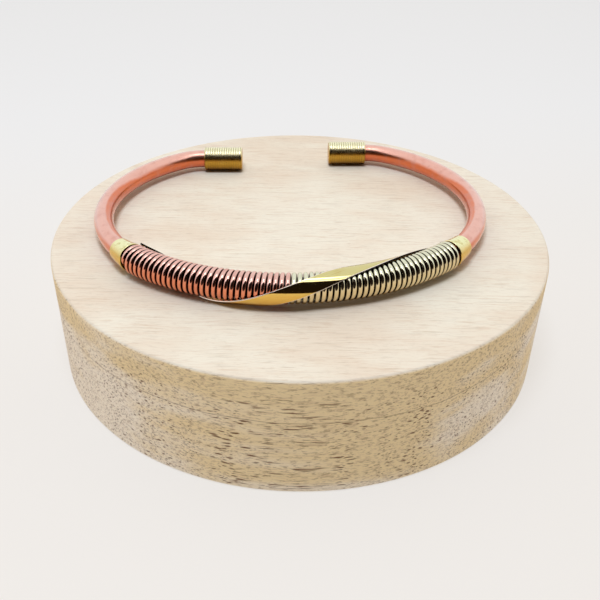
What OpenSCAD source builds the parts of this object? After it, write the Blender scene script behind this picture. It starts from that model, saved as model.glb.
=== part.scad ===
// A copper cuff bracelet lying on its round wooden display block.
// Millimetres, +Z up, origin at the middle of the block's underside, opening of the cuff towards +Y.

/* [Block] */
// Diameter of the wooden block
block_d = 85; // [80:1:110]
// Height of the wooden block
block_h = 20.8; // [12:0.2:40]
// Rounding of the block's rims
block_rim = 0.5; // [0.3:0.1:2]
// Where the front arc's centre lies across the block
cuff_x = -1.1; // [-3:0.1:3]
// Where the front arc's centre lies from front to back on the block
cuff_y = 14.5; // [13.5:0.1:16.5]

/* [Rod] */
// Diameter of the copper rod
rod_d = 3.3; // [3:0.1:3.6]
// Radius of the front arc, to the middle of the rod
front_r = 38.4; // [37.6:0.2:40]
// Degrees that the front arc reaches to the left of its middle
front_left = 36.5; // [35:0.5:38]
// Degrees that the front arc reaches to the right of its middle
front_right = 33.5; // [32:0.5:35]
// Radius of the left side's bend
left_bend_r = 24.4; // [24:0.1:25.5]
// Degrees through which the left side is bent
left_bend = 116; // [113:0.5:118]
// Radius of the right side's bend
right_bend_r = 25.2; // [24.2:0.1:26]
// Degrees through which the right side is bent
right_bend = 114.5; // [112:0.5:117]
// Radius of the short bend where the rod enters a cap
tip_bend_r = 8; // [7:0.5:12]
// Degrees of the short bend at the left cap
left_tip = 32.5; // [28:0.5:35]
// Degrees of the short bend at the right cap
right_tip = 27.5; // [24:0.5:32]

/* [End caps] */
// Diameter of an end cap over its ridges
cap_d = 4.46; // [4.2:0.02:4.8]
// Length of an end cap
cap_l = 7.4; // [6:0.1:9]
// Depth of the blind bore that takes the rod
cap_bore_l = 5.9; // [4:0.1:5.9]
// Number of turned ridges round a cap
ridges = 15; // [8:1:18]
// Depth of the grooves between the ridges
ridge_depth = 0.06; // [0.02:0.01:0.1]

/* [Collars] */
// Diameter of a collar at the wire's side
collar_d = 4.6; // [4.2:0.05:4.7]
// Diameter of a collar at the bare rod's side
collar_tip_d = 3.8; // [3.75:0.05:4.1]
// Length of a collar
collar_l = 3.5; // [2.5:0.1:4]

/* [Wire coils] */
// Length of the winding on the left bend, past the front arc
left_wound = 5.6; // [4:0.2:10]
// Length of the winding on the right bend, past the front arc
right_wound = 2.6; // [1:0.2:6]
// Turns of copper wire, on the left of the front
copper_turns = 30.5; // [24:0.5:34]
// Turns of pale wire, on the right of the front
pale_turns = 32; // [24:0.5:36]
// Share of the distance between turns that the flattened wire fills
wire_fill = 0.86; // [0.75:0.01:0.91]
// Thickness of the flattened wire
wire_t = 0.65; // [0.5:0.01:0.7]

/* [Band] */
// Width of the brass band over its inner face
band_w = 2.35; // [2:0.05:3]
// Thickness of the brass band
band_t = 0.3; // [0.25:0.05:0.5]
// Degrees round the rod at which the band leaves the left collar, 0 is the outer side and 90 the top
band_start = -199; // [-205:1:-190]
// Degrees that the band winds for each millimetre in its steady stretch
band_rate = 8.7; // [8:0.1:9.5]
// Where the steady stretch starts, in millimetres from the left collar
steady_from = 5; // [4:0.2:12]
// Where the steady stretch ends, in millimetres from the left collar
steady_to = 31.4; // [28:0.2:34]
// Where the last stretch starts, in millimetres from the left collar
late_from = 37; // [36:0.5:42]
// Degrees that the band winds for each millimetre in its last stretch
band_late_rate = 5.9; // [5:0.1:7]

/* [Hidden] */

LEFT = -1;
RIGHT = 1;

// Clearance between pieces that are fitted to each other
fit = 0.04;
// Clearance between the cuff's lowest points and the block
rest_gap = 0.05;
// Smoothness of round profiles and of the bends
smooth = 48;
// Each stretch of the rod starts this far inside the stretch before it, and is a hair thinner
rod_overlap = 0.3;
rod_hair = 0.01;
// Steps in one turn of wire
steps_per_turn = 12;
// Gap between the two wires' ends, as a share of a turn
wire_end_gap = 0.02;
// Gap between the rod's end and the bottom of a cap's bore
rod_end_gap = 0.2;
// How far a bore is cut past the face it opens through
bore_over = 1;
// Length between two sections of the band, and the points across its outer face
band_step = 0.8;
band_points = 7;
// Rounding of an end cap's rims
cap_rim = 0.3;

rod_r = rod_d / 2;
cap_r = cap_d / 2;
collar_r = collar_d / 2;
collar_tip_r = collar_tip_d / 2;

// A turn of wire is a polygon, so its corners stand a little further out than the middles of its flats,
// and so do the corners of the band's inner face, which are at most band_flat degrees apart
wire_in_r = (rod_r + fit) / cos(180 / steps_per_turn);
coil_r = wire_in_r + wire_t;
band_slant = atan(band_rate * PI / 180 * (coil_r + band_t));
band_flat = band_w / coil_r / cos(band_slant) / (band_points - 1) * 180 / PI;
band_in_r = (coil_r + fit) / cos(band_flat / 2);
band_out_r = band_in_r + band_t;

// Places on a bend are given by the degrees turned from the middle of the front, right positive.
// spoke is the outward direction there, from the bend's centre.
function spoke(a) = [sin(a), -cos(a)];
function side_front(side) = side == LEFT ? front_left : front_right;
function side_bend_r(side) = side == LEFT ? left_bend_r : right_bend_r;
function side_bend(side) = side == LEFT ? left_bend : right_bend;
function side_tip(side) = side == LEFT ? left_tip : right_tip;
function side_wound(side) = side == LEFT ? left_wound : right_wound;

// Degrees turned at the end of each stretch of one side
function front_end(side) = side * side_front(side);
function bend_end(side) = front_end(side) + side * side_bend(side);
function tip_end(side) = bend_end(side) + side * side_tip(side);

// Centre of each bend, on the line that it shares with the bend before it, and the seat of the cap
function bend_centre(side) = (front_r - side_bend_r(side)) * spoke(front_end(side));
function tip_centre(side) = bend_centre(side) + (side_bend_r(side) - tip_bend_r) * spoke(bend_end(side));
function cap_seat(side) = tip_centre(side) + tip_bend_r * spoke(tip_end(side));

// The cuff leans back a little: its front stands on the band and its back on the caps
front_height = band_out_r + rest_gap;
back_height = cap_r + rest_gap;
cuff_depth = cap_seat(RIGHT)[1] + front_r;
lean = asin((front_height - back_height) / cuff_depth);

// Degrees of an arc of this radius for a length along it
function arc_degrees(length, radius) = length / radius * 180 / PI;

// The winding covers the front arc and a little of both bends, from collar to collar, and its turns share
// that length evenly
front_length = front_r * (front_left + front_right) * PI / 180;
wound_length = left_wound + front_length + right_wound;
pitch = (wound_length - 2 * fit) / (copper_turns + pale_turns + wire_fill);
wire_w = wire_fill * pitch;

// Puts the cuff, drawn round the front arc's centre with the rod's middle at height 0, on the block
module on_block() {
    translate([cuff_x, cuff_y, block_h + front_height - front_r * sin(lean)])
        rotate([-lean, 0, 0])
            children();
}

// Carries a flat profile round a bend, from one place to another
module round_bend(centre, radius, from, to) {
    start = min(from, to);
    translate(centre)
        rotate([0, 0, start - 90])
            rotate_extrude(angle = abs(to - from), $fn = 2 * smooth)
                translate([radius, 0])
                    children();
}

// Stands children, drawn along +Z, at a place on the cuff so that +Z points along the rod, away from the
// front
module along_rod(point, turned, side) {
    translate([point[0], point[1], 0])
        rotate([0, 0, turned])
            rotate([0, side * 90, 0])
                children();
}

// The rod's own bends and straight ends on one side. It stops short of the bottom of the cap's bore.
module rod_side(side) {
    bend_r = side_bend_r(side);
    bend_start = front_end(side) - side * arc_degrees(rod_overlap, bend_r);
    tip_start = bend_end(side) - side * arc_degrees(rod_overlap, tip_bend_r);
    round_bend(bend_centre(side), bend_r, bend_start, bend_end(side))
        circle(r = rod_r - rod_hair, $fn = smooth);
    round_bend(tip_centre(side), tip_bend_r, tip_start, tip_end(side))
        circle(r = rod_r - 2 * rod_hair, $fn = smooth);
    along_rod(cap_seat(side), tip_end(side), side)
        translate([0, 0, -rod_overlap])
            cylinder(r = rod_r - 3 * rod_hair, h = rod_overlap + cap_bore_l - rod_end_gap, $fn = smooth);
}

module copper_rod() {
    color([0.85, 0.45, 0.32])
        on_block() {
            round_bend([0, 0], front_r, -front_left, front_right)
                circle(r = rod_r, $fn = smooth);
            rod_side(LEFT);
            rod_side(RIGHT);
        }
}

// Outline of a cap from its axis outwards: flat ends, rounded rims, ridges between V grooves
ridge_pitch = (cap_l - 2 * cap_rim) / ridges;
groove_half = ridge_pitch / 4;
rim_middle = cap_rim * (1 - cos(45));
cap_outline = concat(
    [[0, 0], [cap_r - cap_rim, 0], [cap_r - rim_middle, rim_middle], [cap_r, cap_rim]],
    [for (i = [1 : ridges - 1], step = [-1, 0, 1])
        [cap_r - (step == 0 ? ridge_depth : 0), cap_rim + i * ridge_pitch + step * groove_half]],
    [[cap_r, cap_l - cap_rim], [cap_r - rim_middle, cap_l - rim_middle], [cap_r - cap_rim, cap_l],
     [0, cap_l]]
);

module end_cap(side) {
    color([0.83, 0.68, 0.3])
        on_block()
            along_rod(cap_seat(side), tip_end(side), side)
                difference() {
                    rotate_extrude($fn = smooth)
                        polygon(cap_outline);
                    translate([0, 0, -bore_over])
                        cylinder(r = rod_r + fit, h = cap_bore_l + bore_over, $fn = smooth);
                }
}

// A collar is straight, so the middle of the rod bows away from its axis between its ends, and its end
// stands askew to the end of the winding
function collar_sag(side) = pow(collar_l / 2, 2) / 2 / side_bend_r(side);
function collar_clear(side) = fit + collar_l / 2 * collar_r / side_bend_r(side);
function collar_turned(side) =
    let (past = side_wound(side) + collar_clear(side) + collar_l / 2)
    front_end(side) + side * arc_degrees(past, side_bend_r(side));

// A cone over the rod, wide end against the winding
module collar(side) {
    turned = collar_turned(side);
    bore_r = rod_r + fit + collar_sag(side);
    color([0.86, 0.74, 0.38])
        on_block()
            along_rod(bend_centre(side) + side_bend_r(side) * spoke(turned), turned, side)
                difference() {
                    translate([0, 0, -collar_l / 2])
                        cylinder(r1 = collar_r, r2 = collar_tip_r, h = collar_l, $fn = smooth);
                    translate([0, 0, -collar_l / 2 - bore_over])
                        cylinder(r = bore_r, h = collar_l + 2 * bore_over, $fn = smooth);
                }
}

// A point on the wound stretch: length from the left collar, distance from the rod's middle, degrees round
// the rod. It lies on the front arc, or past its end on one of the bends.
function on_winding(length, radius, round) =
    let (along = length - left_wound,
         side = along < 0 ? LEFT : RIGHT,
         past = max(-along, along - front_length),
         bend_r = past > 0 ? side_bend_r(side) : front_r,
         centre = past > 0 ? bend_centre(side) : [0, 0],
         turned = past > 0 ? front_end(side) + side * arc_degrees(past, bend_r)
                           : arc_degrees(along, front_r) - front_left,
         reach = bend_r + radius * cos(round))
    [centre[0] + reach * sin(turned), centre[1] - reach * cos(turned), radius * sin(round)];

// Two triangles for each four-sided face
function split(faces) = [for (f = faces) each [[f[0], f[1], f[2]], [f[0], f[2], f[3]]]];

// Faces of a tube through rings of points, with a lid at each end. In a ring, point j of the first half
// lies across from point j of the second half counted backwards, and the halves are split along the
// diagonal that is shorter where the rings turn forwards.
function tube_faces(rings, points) =
    let (last = (rings - 1) * points)
    split(concat(
        [for (j = [0 : points / 2 - 2]) [points - 1 - j, points - 2 - j, j + 1, j]],
        [for (i = [0 : rings - 2], j = [0 : points - 1])
            let (k = (j + 1) % points, low = i * points, high = low + points)
            j < points / 2 ? [low + k, high + k, high + j, low + j]
                           : [low + j, low + k, high + k, high + j]],
        [for (j = [0 : points / 2 - 2], far = last + points - 1 - j)
            [last + j, last + j + 1, far - 1, far]]
    ));

// The flattened wire's section: six corners, as [along the rod, out from the rod's middle]
wire_section = [[wire_w / 2, wire_t / 2], [wire_w / 4, wire_t], [-wire_w / 4, wire_t],
                [-wire_w / 2, wire_t / 2], [-wire_w / 4, 0], [wire_w / 4, 0]];

// Wire wound round the rod from one turn to another, rising from the outer side to the top. Turn 0 starts
// at the left collar on the outer side.
module wire_coil(from, to) {
    rings = ceil((to - from) * steps_per_turn) + 1;
    points = [for (i = [0 : rings - 1], corner = wire_section)
        let (turn = from + (to - from) * i / (rings - 1))
        on_winding(fit + wire_w / 2 + turn * pitch + corner[0], wire_in_r + corner[1], turn * 360)];
    polyhedron(points, tube_faces(rings, len(wire_section)));
}

module copper_wire_coil() {
    color([0.82, 0.47, 0.36])
        on_block()
            wire_coil(0, copper_turns);
}

// The pale wire goes on where the copper wire ends
module pale_wire_coil() {
    color([0.84, 0.83, 0.7])
        on_block()
            wire_coil(copper_turns + wire_end_gap, copper_turns + pale_turns);
}

// Degrees that the band winds for each millimetre: its rate rises evenly from 0 at the left collar to the
// steady rate, and later falls evenly to the rate of the last stretch
function band_rate_at(length) =
    let (fall = max(0, min(1, (length - steady_to) / (late_from - steady_to))))
    min(band_rate * length / steady_from, band_rate - (band_rate - band_late_rate) * fall);

// Degrees round the rod of the band's middle, which is the sum of its rate so far
function band_angle(length) =
    let (rise = min(length, steady_from),
         steady = max(0, length - steady_from),
         fall = max(0, min(length, late_from) - steady_to),
         late = max(0, length - late_from),
         lost = fall * fall / (2 * (late_from - steady_to)) + late)
    band_start + band_rate * (rise * rise / (2 * steady_from) + steady)
        - (band_rate - band_late_rate) * lost;

// Degrees to each side of its middle that the band covers, more where it slants more steeply
function band_half(length) =
    let (slant = atan(band_rate_at(length) * PI / 180 * band_in_r))
    band_w / 2 / band_in_r / cos(slant) * 180 / PI;

module brass_band() {
    rings = floor(wound_length / band_step);
    span = wound_length - 2 * fit;
    points = [for (i = [0 : rings - 1])
        let (length = fit + span * i / (rings - 1),
             first = band_angle(length) - band_half(length),
             step = 2 * band_half(length) / (band_points - 1))
        each concat(
            [for (j = [0 : band_points - 1]) on_winding(length, band_in_r, first + j * step)],
            [for (j = [band_points - 1 : -1 : 0]) on_winding(length, band_out_r, first + j * step)]
        )];
    color([0.8, 0.66, 0.28])
        on_block()
            polyhedron(points, tube_faces(rings, 2 * band_points));
}

// A plain turned disc with rounded rims
module display_block() {
    rim_x = block_d / 2 - block_rim;
    color([0.88, 0.79, 0.68])
        rotate_extrude($fn = 4 * smooth)
            union() {
                square([rim_x, block_h]);
                translate([0, block_rim])
                    square([block_d / 2, block_h - 2 * block_rim]);
                for (z = [block_rim, block_h - block_rim])
                    translate([rim_x, z])
                        circle(r = block_rim, $fn = smooth);
            }
}

display_block();
copper_rod();
end_cap(LEFT);  // end_cap_left
end_cap(RIGHT);  // end_cap_right
collar(LEFT);  // collar_left
collar(RIGHT);  // collar_right
copper_wire_coil();
pale_wire_coil();
brass_band();
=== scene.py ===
"""Blender scene of a copper cuff bracelet that lies on its round wooden display block.

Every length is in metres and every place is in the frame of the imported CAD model: +Z up, the origin at the
middle of the block's underside, the opening of the cuff towards +Y. Angles are in degrees.
"""

import logging
import math
from dataclasses import dataclass, field
from enum import Enum

import bpy
import numpy as np
from mathutils import Matrix


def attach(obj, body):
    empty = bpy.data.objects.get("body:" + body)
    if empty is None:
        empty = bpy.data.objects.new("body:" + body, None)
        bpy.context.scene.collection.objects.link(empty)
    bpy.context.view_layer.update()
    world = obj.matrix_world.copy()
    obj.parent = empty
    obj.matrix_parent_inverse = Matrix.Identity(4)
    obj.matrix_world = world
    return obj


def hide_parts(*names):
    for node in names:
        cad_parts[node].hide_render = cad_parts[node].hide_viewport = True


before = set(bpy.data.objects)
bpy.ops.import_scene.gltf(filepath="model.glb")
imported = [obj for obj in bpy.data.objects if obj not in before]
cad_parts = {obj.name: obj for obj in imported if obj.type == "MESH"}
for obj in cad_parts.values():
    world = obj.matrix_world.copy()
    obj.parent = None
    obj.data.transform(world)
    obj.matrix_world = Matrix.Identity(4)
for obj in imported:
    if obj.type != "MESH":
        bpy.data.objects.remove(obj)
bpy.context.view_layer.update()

LOG = logging.getLogger("cuff")
MM = 0.001

# Types. A pair is often the start and end of a fade. A noise is its features to a metre each way, its detail and
# its roughness.
Number = float | np.ndarray
Pair = tuple[float, float]
Triple = tuple[float, float, float]
Colour = tuple[float, float, float, float]
Noise = tuple[Triple, float, float]

# Sizes that more than one class has
BLOCK_HEIGHT = 20.8 * MM
BLOCK_RIM = 0.5 * MM
ROD_RADIUS = 1.65 * MM
BORE_RADIUS = 1.69 * MM
TIP_LENGTH = 7.4 * MM
WIRE_FIT = 0.04 * MM


class Side(Enum):
    """The two sides of the cuff, seen from the front."""

    LEFT = -1
    RIGHT = 1


class Slot(Enum):
    """The record's material slots."""

    COPPER = "copper"
    COPPER_WIRE = "copper_wire"
    PALE_WIRE = "pale_wire"
    BRASS = "brass"
    WOOD = "wood"


def shade(red: int, green: int, blue: int) -> Colour:
    """Turns a screen colour into the linear one that shaders use.

    Each channel c of 0 to 1 becomes ((c + 0.055) / 1.055) to the power 2.4, or c / 12.92 where it is very dark.

    Args:
        red, green, blue: The channels, from 0 to 255.

    Returns:
        The linear colour with an alpha of 1.
    """
    channels = (c / 255 for c in (red, green, blue))
    linear = tuple(c / 12.92 if c <= 0.04045 else ((c + 0.055) / 1.055) ** 2.4 for c in channels)
    return (*linear, 1.0)


def waves(place: np.ndarray, lengths: tuple[float, ...], seed: int) -> np.ndarray:
    """A smooth wander between about -1 and 1.

    It is the mean of sines of the place, one for each wavelength, each starting at its own angle.

    Args:
        place: Where the wander is wanted, in any unit.
        lengths: The wavelengths, in the same unit.
        seed: Picks the angles at which the sines start.

    Returns:
        One value for each place.
    """
    starts = np.random.default_rng(seed).uniform(0, 2 * np.pi, len(lengths))
    sines = [np.sin(2 * np.pi * place / length + start) for length, start in zip(lengths, starts)]
    return np.mean(sines, axis=0)


def quarter_circle(radius: float, points: int) -> tuple[np.ndarray, np.ndarray]:
    """A rounded edge.

    At each angle from 0 to 90 degrees it lies the radius times 1 less the cosine from the line where it starts,
    and the radius times 1 less the sine from the line where it ends.

    Args:
        radius: The edge's radius.
        points: How many points it has.

    Returns:
        The distances from its first line, which grow, and those from its last, which shrink to 0.
    """
    angles = np.radians(np.linspace(0, 90, points))
    return radius * (1 - np.cos(angles)), radius * (1 - np.sin(angles))


# Shader graphs


class Value:
    """A number that a node puts out. Sums written with it add the Math nodes that work them out."""

    def __init__(self, graph: "Graph", socket: bpy.types.NodeSocket) -> None:
        """Wraps a socket of a graph's node."""
        self.graph = graph
        self.socket = socket

    def __add__(self, other: object) -> "Value":
        """This plus other."""
        return self.graph.maths("ADD", self, other)

    def __radd__(self, other: object) -> "Value":
        """Other plus this."""
        return self.graph.maths("ADD", other, self)

    def __sub__(self, other: object) -> "Value":
        """This less other."""
        return self.graph.maths("SUBTRACT", self, other)

    def __rsub__(self, other: object) -> "Value":
        """Other less this."""
        return self.graph.maths("SUBTRACT", other, self)

    def __mul__(self, other: object) -> "Value":
        """This times other."""
        return self.graph.maths("MULTIPLY", self, other)

    def __rmul__(self, other: object) -> "Value":
        """Other times this."""
        return self.graph.maths("MULTIPLY", other, self)

    def fade(self, start: float, end: float) -> "Value":
        """Goes smoothly from 0 to 1 while this goes from start to end, upwards or downwards."""
        made = self.graph.node("ShaderNodeMapRange", {0: self, 1: start, 2: end}, interpolation_type="SMOOTHSTEP")
        return Value(self.graph, made.outputs[0])


class Graph:
    """The nodes of one material or of the world, and the ways in which this script adds to them."""

    def __init__(self, tree: bpy.types.NodeTree) -> None:
        """Starts from an empty node tree."""
        tree.nodes.clear()
        self.tree = tree

    def node(self, kind: str, sockets: dict[object, object] | None = None, **settings: object) -> bpy.types.Node:
        """Adds a node.

        Args:
            kind: The node's type.
            sockets: The value or link of each input, by name or number.
            settings: The node's own settings, set before its inputs.

        Returns:
            The node.
        """
        made = self.tree.nodes.new(kind)
        for name, value in settings.items():
            setattr(made, name, value)
        for key, value in (sockets or {}).items():
            self._feed(made.inputs[key], value)
        return made

    def _feed(self, entry: bpy.types.NodeSocket, value: object) -> None:
        """Links an input to a socket, or sets it to a constant.

        Args:
            entry: The input.
            value: A socket, a wrapped socket, or the constant.
        """
        if isinstance(value, Value):
            value = value.socket
        if isinstance(value, bpy.types.NodeSocket):
            self.tree.links.new(value, entry)
        else:
            entry.default_value = value

    def maths(self, operation: str, *values: object) -> Value:
        """Adds a Math node on one value or two."""
        made = self.node("ShaderNodeMath", dict(enumerate(values)), operation=operation)
        return Value(self, made.outputs[0])

    def mix(self, factor: object, first: object, second: object) -> bpy.types.NodeSocket:
        """Mixes two colours, the second one by the factor."""
        return self.node("ShaderNodeMix", {0: factor, 6: first, 7: second}, data_type="RGBA").outputs[2]

    def coordinates(self, kind: str) -> bpy.types.NodeSocket:
        """The place or direction of a point, in one of the kinds that Texture Coordinate has."""
        return self.node("ShaderNodeTexCoord").outputs[kind]

    def part(self, vector: bpy.types.NodeSocket, axis: int) -> Value:
        """One of the three parts of a vector, from 0 to 2."""
        return Value(self, self.node("ShaderNodeSeparateXYZ", {0: vector}).outputs[axis])

    def attribute(self, name: str) -> bpy.types.NodeSocket:
        """A vector that each point of the piece carries under this name."""
        return self.node("ShaderNodeAttribute", attribute_name=name).outputs["Vector"]

    def placed(self, vector: bpy.types.NodeSocket, scale: Triple, turn: float = 0.0,
               shift: Triple = (0.0, 0.0, 0.0)) -> bpy.types.NodeSocket:
        """Scales, turns about Z and shifts the coordinates that a pattern is drawn on."""
        sockets = {0: vector, 1: shift, 2: (0.0, 0.0, math.radians(turn)), 3: scale}
        return self.node("ShaderNodeMapping", sockets).outputs[0]

    def noise(self, vector: bpy.types.NodeSocket, scale: Triple, detail: float, roughness: float) -> Value:
        """Soft noise with features one over the scale wide."""
        sockets = {"Vector": self.placed(vector, scale), "Scale": 1.0, "Detail": detail, "Roughness": roughness}
        return Value(self, self.node("ShaderNodeTexNoise", sockets).outputs["Fac"])

    def principled(self, sockets: dict[object, object]) -> None:
        """Ends a material in a Principled shader with these inputs."""
        shader = self.node("ShaderNodeBsdfPrincipled", sockets)
        self.node("ShaderNodeOutputMaterial", {"Surface": shader.outputs[0]})


def start_material(name: str) -> tuple[bpy.types.Material, Graph]:
    """Makes a material whose nodes are still to come.

    Args:
        name: The material's name.

    Returns:
        The material and its empty graph.
    """
    made = bpy.data.materials.new(name)
    made.use_nodes = True
    return made, Graph(made.node_tree)


# Surfaces


@dataclass
class Surface:
    """A closed skin over a grid of points: rings of columns, one ring for each row.

    A ring turns against a right-handed screw that moves along the rows, so that the faces point outwards.
    Where the rows don't run back into themselves, the first and last ring are closed with a pole each.
    """

    name: str
    points: np.ndarray
    straight: np.ndarray
    closed: bool = False

    def faces(self) -> list[list[int]]:
        """Numbers the faces.

        The quad at row i and column j takes the points (i, j), (i + 1, j), (i + 1, j + 1) and (i, j + 1), and
        columns, and rows if they are closed, wrap round. A pole has one triangle for each side of its ring.

        Returns:
            The faces as lists of point numbers.
        """
        rows, columns = self.points.shape[:2]
        spans = rows if self.closed else rows - 1
        i, j = np.meshgrid(np.arange(spans), np.arange(columns), indexing="ij")
        low, high, after = i * columns, (i + 1) % rows * columns, (j + 1) % columns
        quads = np.stack([low + j, high + j, high + after, low + after], -1).reshape(-1, 4).tolist()
        if self.closed:
            return quads
        ring, last, pole = np.arange(columns), (rows - 1) * columns, rows * columns
        following = (ring + 1) % columns
        first_lid = np.stack([np.full(columns, pole), ring, following], -1)
        last_lid = np.stack([np.full(columns, pole + 1), last + following, last + ring], -1)
        return quads + first_lid.tolist() + last_lid.tolist()

    def build(self, material: bpy.types.Material, slot: Slot, *nodes: str) -> bpy.types.Object:
        """Makes the mesh and puts it in place of its CAD nodes.

        Args:
            material: What the piece is made of.
            slot: The record's slot for it; not used.
            nodes: The CAD nodes that the piece stands for.

        Returns:
            The object.
        """
        grids = [self.points.reshape(-1, 3), self.straight.reshape(-1, 3)]
        if not self.closed:
            grids = [np.vstack([g, w[0].mean(0), w[-1].mean(0)])
                     for g, w in zip(grids, (self.points, self.straight))]
        mesh = bpy.data.meshes.new(self.name)
        mesh.from_pydata(grids[0].tolist(), [], self.faces())
        mesh.attributes.new("straight", "FLOAT_VECTOR", "POINT")
        mesh.attributes["straight"].data.foreach_set("vector", grids[1].astype(np.float32).ravel())
        mesh.polygons.foreach_set("use_smooth", np.ones(len(mesh.polygons), bool))
        mesh.materials.append(material)
        mesh.update()
        piece = bpy.data.objects.new(self.name, mesh)
        bpy.context.scene.collection.objects.link(piece)
        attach(piece, "root")
        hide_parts(*nodes)
        LOG.info("%s: %d points, %d faces", self.name, len(mesh.vertices), len(mesh.polygons))
        return piece


@dataclass
class CuffPath:
    """The middle line of the rod: a front arc, and on each side a bend, a short bend and a straight tip.

    A place on it is a length from the left collar, rightwards. The winding covers the front arc and a little
    of both bends. The heading of a place is the angle turned from the middle of the front.
    """

    front_r: float = 38.4 * MM
    front_left: float = 36.5
    front_right: float = 33.5
    left_bend_r: float = 24.4 * MM
    left_bend: float = 116.0
    right_bend_r: float = 25.2 * MM
    right_bend: float = 114.5
    tip_bend_r: float = 8 * MM
    left_tip: float = 32.5
    right_tip: float = 27.5
    tip_length: float = TIP_LENGTH
    left_wound: float = 5.6 * MM
    right_wound: float = 2.6 * MM
    cuff_x: float = -1.1 * MM
    cuff_y: float = 14.5 * MM
    block_h: float = BLOCK_HEIGHT
    front_height: float = 2.7991 * MM
    lean: float = 0.5954
    lengths: np.ndarray = field(init=False)
    headings: np.ndarray = field(init=False)
    corners: np.ndarray = field(init=False)

    def __post_init__(self) -> None:
        """Works out where each stretch starts: its length, its heading and its point in plan."""
        left = [(self.tip_length, 0.0), (self.tip_bend_r, self.left_tip), (self.left_bend_r, self.left_bend)]
        front = [(self.front_r, self.front_left + self.front_right)]
        right = [(self.right_bend_r, self.right_bend), (self.tip_bend_r, self.right_tip), (self.tip_length, 0.0)]
        stretches = left + front + right
        spans = np.array([r * math.radians(a) if a else r for r, a in stretches])
        turns = np.radians([a for _, a in stretches])
        self.lengths = np.concatenate([[0.0], np.cumsum(spans)]) - spans[:3].sum() + self.left_wound
        self.headings = np.concatenate([[0.0], np.cumsum(turns)]) - turns[:3].sum() - math.radians(self.front_left)
        chords = spans * np.sinc(turns / 2 / np.pi)
        ways = self.headings[:-1] + turns / 2
        steps = chords[:, None] * np.stack([np.cos(ways), np.sin(ways)], -1)
        corners = np.vstack([np.zeros(2), np.cumsum(steps, 0)])
        start = math.radians(-self.front_left)
        self.corners = corners - corners[3] + self.front_r * np.array([math.sin(start), -math.cos(start)])

    @property
    def wound_length(self) -> float:
        """Length of the winding, from collar to collar."""
        return float(self.lengths[4]) + self.right_wound

    def seat(self, side: Side) -> float:
        """The place at which a cap starts."""
        return float(self.lengths[1] if side is Side.LEFT else self.lengths[6])

    def collar_seat(self, side: Side) -> float:
        """The place at which a collar starts, at an end of the winding."""
        return 0.0 if side is Side.LEFT else self.wound_length

    def middle(self, length: np.ndarray) -> tuple[np.ndarray, np.ndarray]:
        """Point in plan and heading of places on the path.

        From the start of its stretch, a place lies one chord away: the length times the sine of half the turn
        over half the turn, in the direction of the heading at the chord's middle.

        Args:
            length: The places, in an array of any shape.

        Returns:
            The points, with one axis more than length, and the headings in radians.
        """
        which = np.clip(np.searchsorted(self.lengths, length, side="right") - 1, 0, len(self.lengths) - 2)
        share = (length - self.lengths[which]) / np.diff(self.lengths)[which]
        turn = share * np.diff(self.headings)[which]
        chord = (length - self.lengths[which]) * np.sinc(turn / 2 / np.pi)
        way = self.headings[which] + turn / 2
        step = chord[..., None] * np.stack([np.cos(way), np.sin(way)], -1)
        return self.corners[which] + step, self.headings[which] + turn

    def lay(self, length: Number, radius: Number, turned: Number) -> tuple[np.ndarray, np.ndarray]:
        """Points round the rod's middle line.

        A point lies radius times the cosine of its angle outwards and radius times the sine upwards from the
        middle line. The whole is then tipped back by the lean about the front arc's centre line, and moved to
        its place on the block.

        Args:
            length: Places along the path.
            radius: Distances from the middle line.
            turned: Degrees round the rod, 0 at the outer side and 90 at the top.

        Returns:
            The points in the CAD frame, and the same points with the path straightened along X.
        """
        length, radius, turned = np.broadcast_arrays(length, radius, np.radians(turned))
        plan, heading = self.middle(length)
        out, up = radius * np.cos(turned), radius * np.sin(turned)
        x = plan[..., 0] + out * np.sin(heading)
        y = plan[..., 1] - out * np.cos(heading)
        slope = math.radians(self.lean)
        depth = y * math.cos(slope) + up * math.sin(slope)
        height = up * math.cos(slope) - y * math.sin(slope)
        rise = self.block_h + self.front_height - self.front_r * math.sin(slope)
        points = np.stack([x + self.cuff_x, depth + self.cuff_y, height + rise], -1)
        return points, np.stack([length, out, up], -1)


# Finishes


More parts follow.
